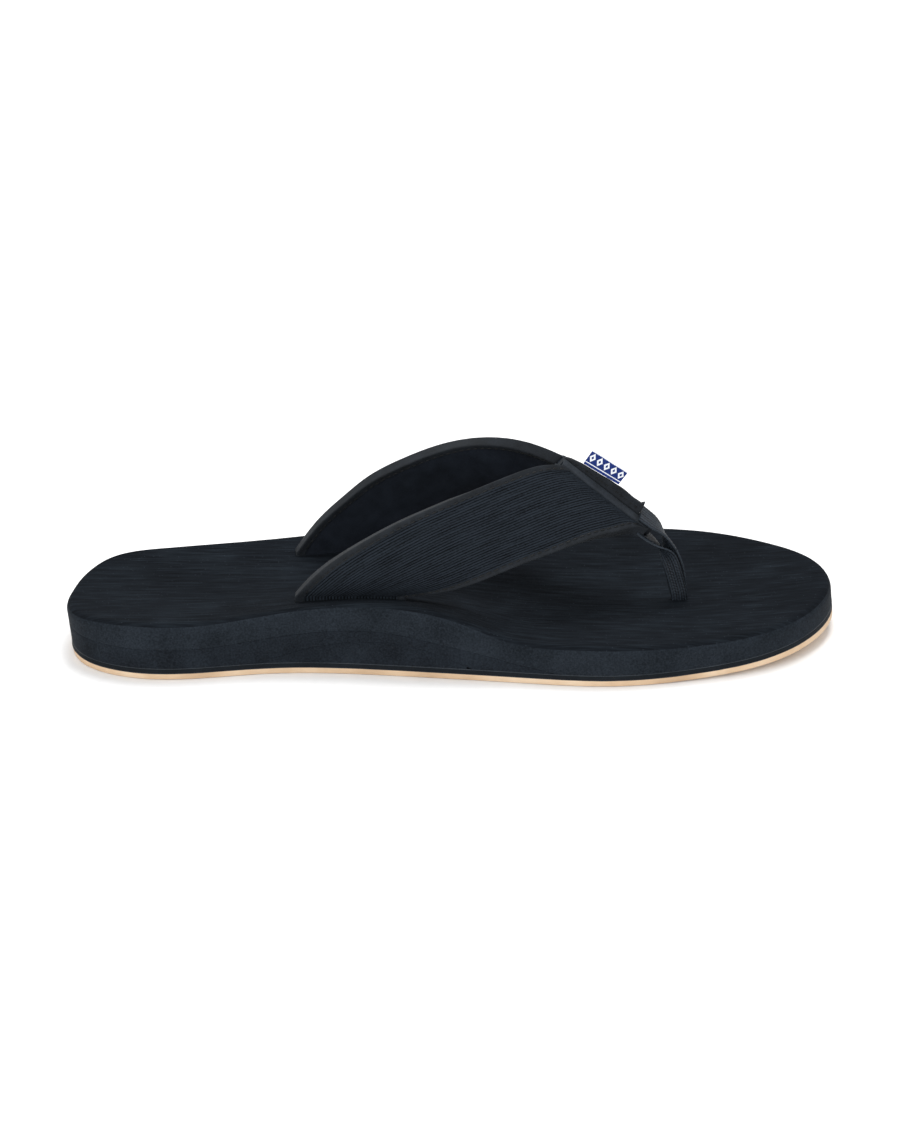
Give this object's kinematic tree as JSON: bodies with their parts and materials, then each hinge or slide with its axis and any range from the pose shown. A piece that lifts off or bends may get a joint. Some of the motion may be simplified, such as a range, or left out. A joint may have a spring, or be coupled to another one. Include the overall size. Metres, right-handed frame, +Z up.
{
  "type": "flip flop",
  "caption": "Left-foot flip flop with a layered foam sole, two padded ribbed straps joined in a bound seam, a webbing toe post and a folded side label.",
  "frame": {"origin": "on the ground under the middle of the sole's length and width", "axes": "+X from heel to toe, +Y to the outer (lateral) side of the left foot, +Z up"},
  "size_m": [0.2949, 0.107, 0.0752],
  "materials": {
    "outsole_rubber": "tan gum rubber, moulded, matt",
    "base_foam": "dark dense foam sheet, cut edge, matt",
    "wedge_foam": "dark navy closed-cell foam, sanded wall",
    "midsole_foam": "dark navy closed-cell foam, sanded wall",
    "footbed": "brushed dark navy foam sheet with lengthwise grain",
    "strap_textile": "fine ribbed stretch textile, dark navy",
    "strap_padding": "soft open foam, hidden",
    "strap_lining": "smooth brushed microfibre, near black navy",
    "binding": "folded suede-like tape, dark navy",
    "webbing": "flat woven nylon tape, dark navy",
    "post_hardware": "moulded nylon, matt black",
    "label": "woven ribbon, deep blue with a plain white pattern"
  },
  "bodies": {
    "sandal": {"outsole": "outsole_rubber", "base_sheet": "base_foam", "heel_wedge": "wedge_foam", "arch_insert": "wedge_foam", "midsole": "midsole_foam", "footbed_cover": "footbed", "medial_strap_shell": "strap_textile", "medial_strap_foam": "strap_padding", "medial_strap_lining": "strap_lining", "medial_rear_binding": "binding", "medial_front_binding": "binding", "medial_seam_binding": "binding", "medial_strap_anchor": "webbing", "lateral_strap_shell": "strap_textile", "lateral_strap_foam": "strap_padding", "lateral_strap_lining": "strap_lining", "lateral_rear_binding": "binding", "lateral_front_binding": "binding", "lateral_seam_binding": "binding", "lateral_strap_anchor": "webbing", "seam_piping": "binding", "toe_webbing": "webbing", "toe_post_pin": "post_hardware", "toe_post_washer": "post_hardware"},
    "label_tab": {"side_label": "label"}
  },
  "joints": [
    {"name": "label_flap", "type": "hinge", "parent": "sandal", "child": "label_tab", "pos_m": [0.05485, -0.0055, 0.06576], "axis": [0.8368, 0, -0.5474], "range_deg": [-50, 50], "stiffness_Nm_per_rad": 0.00002}
  ]
}
